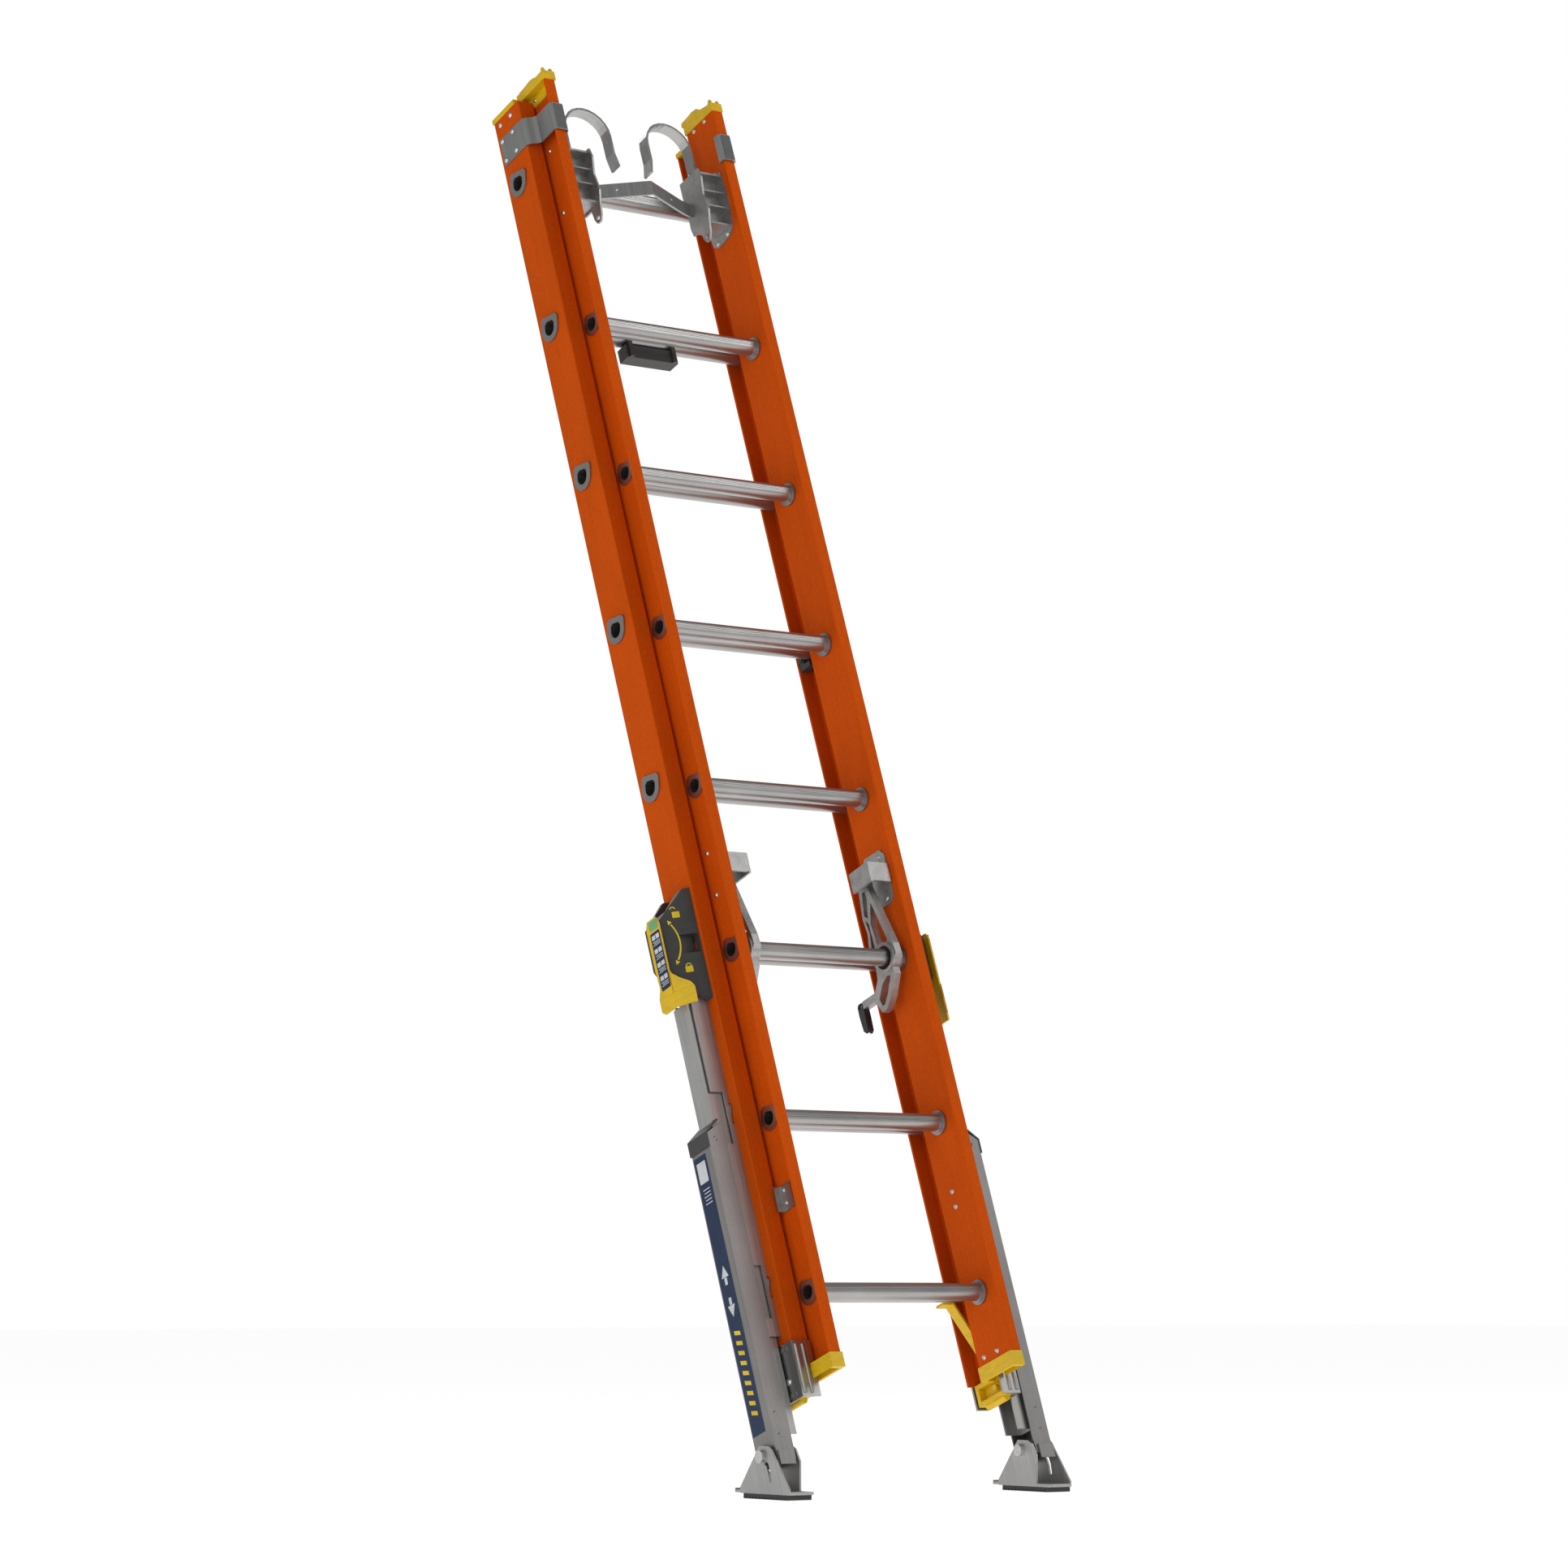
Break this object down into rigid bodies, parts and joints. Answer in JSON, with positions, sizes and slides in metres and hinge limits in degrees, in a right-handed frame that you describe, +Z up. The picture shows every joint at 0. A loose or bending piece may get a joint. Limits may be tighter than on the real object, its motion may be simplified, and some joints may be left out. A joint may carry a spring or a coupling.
{
  "type": "extension ladder",
  "caption": "Two-section extension ladder with sliding fly section, rung locks, levelling legs with swivel feet, pole bar and cable hooks.",
  "frame": {"origin": "middle of the bounding box on the floor, with the ladder leaning back as when in use", "axes": "+Z up, +Y to the back where the top leans, +X to the right seen from the climbing side"},
  "size_m": [0.596, 1.005, 2.54],
  "materials": {
    "rail_orange": "satin pultruded fibreglass, orange through",
    "rung_metal": "ribbed mill finish",
    "black_plastic": "matt moulded",
    "grey_metal": "cast and sheet, satin",
    "yellow_plastic": "matt moulded",
    "dark_metal": "dark grey coat",
    "vial_green": "clear tinted",
    "zinc": "zinc plated",
    "pad_rubber": "ribbed"
  },
  "bodies": {
    "base_section": {"base_rail_left": "rail_orange", "base_rail_right": "rail_orange", "base_rung_1": "rung_metal", "base_rung_2": "rung_metal", "base_rung_3": "rung_metal", "base_rung_4": "rung_metal", "base_rung_5": "rung_metal", "base_rung_6": "rung_metal", "base_rung_7": "rung_metal", "base_rung_8": "rung_metal", "base_top_caps": "yellow_plastic", "top_guide_left": "grey_metal", "top_guide_right": "grey_metal", "foot_braces": "yellow_plastic", "rail_shields": "grey_metal", "level_holder": "black_plastic", "level_vial": "vial_green", "rung_bumper": "black_plastic", "leg_guides": "grey_metal", "latch_housing_left": "black_plastic", "latch_housing_right": "black_plastic", "base_rivets": "zinc"},
    "fly_section": {"fly_rail_left": "rail_orange", "fly_rail_right": "rail_orange", "fly_rung_1": "rung_metal", "fly_rung_2": "rung_metal", "fly_rung_3": "rung_metal", "fly_rung_4": "rung_metal", "fly_rung_5": "rung_metal", "fly_rung_6": "rung_metal", "fly_rung_7": "rung_metal", "fly_top_caps": "yellow_plastic", "fly_bottom_caps": "yellow_plastic", "fly_guides": "grey_metal", "v_bar": "grey_metal", "v_bracket_left": "grey_metal", "v_bracket_right": "grey_metal", "lock_guides": "grey_metal", "fly_rivets": "zinc"},
    "leg_left": {"leg_channel_left": "grey_metal", "slide_bar_left": "grey_metal", "leg_cap_left": "black_plastic", "pivot_bolt_left": "zinc"},
    "foot_left": {"shoe_left": "grey_metal", "pad_left": "pad_rubber"},
    "lever_left": {"release_lever_left": "yellow_plastic"},
    "lock_left": {"rung_lock_left": "grey_metal"},
    "flipper_left": {"lock_flipper_left": "dark_metal"},
    "hook_left": {"cable_hook_left": "zinc"},
    "leg_right": {"leg_channel_right": "grey_metal", "slide_bar_right": "grey_metal", "leg_cap_right": "black_plastic", "pivot_bolt_right": "zinc"},
    "foot_right": {"shoe_right": "grey_metal", "pad_right": "pad_rubber"},
    "lever_right": {"release_lever_right": "yellow_plastic"},
    "lock_right": {"rung_lock_right": "grey_metal"},
    "flipper_right": {"lock_flipper_right": "dark_metal"},
    "hook_right": {"cable_hook_right": "zinc"}
  },
  "joints": [
    {"name": "fly_slide", "type": "slide", "parent": "base_section", "child": "fly_section", "axis": [0, 0.3502, 0.9367], "range_m": [0, 1.524]},
    {"name": "leg_left_slide", "type": "slide", "parent": "base_section", "child": "leg_left", "axis": [0, 0.3502, 0.9367], "range_m": [0, 0.17]},
    {"name": "foot_left_swivel", "type": "hinge", "parent": "leg_left", "child": "foot_left", "pos_m": [-0.2675, -0.42888, 0.067], "axis": [1, 0, 0], "range_deg": [-25, 25]},
    {"name": "lever_left_hinge", "type": "hinge", "parent": "base_section", "child": "lever_left", "pos_m": [-0.283, -0.10945, 0.93145], "axis": [0, 0.9367, -0.3502], "range_deg": [0, 18], "stiffness_Nm_per_rad": 0.6},
    {"name": "lock_left_swing", "type": "hinge", "parent": "fly_section", "child": "lock_left", "pos_m": [-0.15, -0.1929, 0.89956], "axis": [-1, 0, 0], "range_deg": [0, 20], "stiffness_Nm_per_rad": 1.5},
    {"name": "flipper_left_swing", "type": "hinge", "parent": "lock_left", "child": "flipper_left", "pos_m": [-0.15, -0.12303, 0.81803], "axis": [1, 0, 0], "range_deg": [0, 60], "stiffness_Nm_per_rad": 0.05},
    {"name": "hook_left_swivel", "type": "hinge", "parent": "fly_section", "child": "hook_left", "pos_m": [-0.14, 0.37603, 2.38125], "axis": [0, 0.3502, 0.9367], "range_deg": [0, 90]},
    {"name": "leg_right_slide", "type": "slide", "parent": "base_section", "child": "leg_right", "axis": [0, 0.3502, 0.9367], "range_m": [0, 0.17]},
    {"name": "foot_right_swivel", "type": "hinge", "parent": "leg_right", "child": "foot_right", "pos_m": [0.2675, -0.42888, 0.067], "axis": [1, 0, 0], "range_deg": [-25, 25]},
    {"name": "lever_right_hinge", "type": "hinge", "parent": "base_section", "child": "lever_right", "pos_m": [0.283, -0.10945, 0.93145], "axis": [0, -0.9367, 0.3502], "range_deg": [0, 18], "stiffness_Nm_per_rad": 0.6},
    {"name": "lock_right_swing", "type": "hinge", "parent": "fly_section", "child": "lock_right", "pos_m": [0.15, -0.1929, 0.89956], "axis": [-1, 0, 0], "range_deg": [0, 20], "stiffness_Nm_per_rad": 1.5},
    {"name": "flipper_right_swing", "type": "hinge", "parent": "lock_right", "child": "flipper_right", "pos_m": [0.15, -0.12303, 0.81803], "axis": [1, 0, 0], "range_deg": [0, 60], "stiffness_Nm_per_rad": 0.05},
    {"name": "hook_right_swivel", "type": "hinge", "parent": "fly_section", "child": "hook_right", "pos_m": [0.14, 0.37603, 2.38125], "axis": [0, -0.3502, -0.9367], "range_deg": [0, 90]}
  ]
}
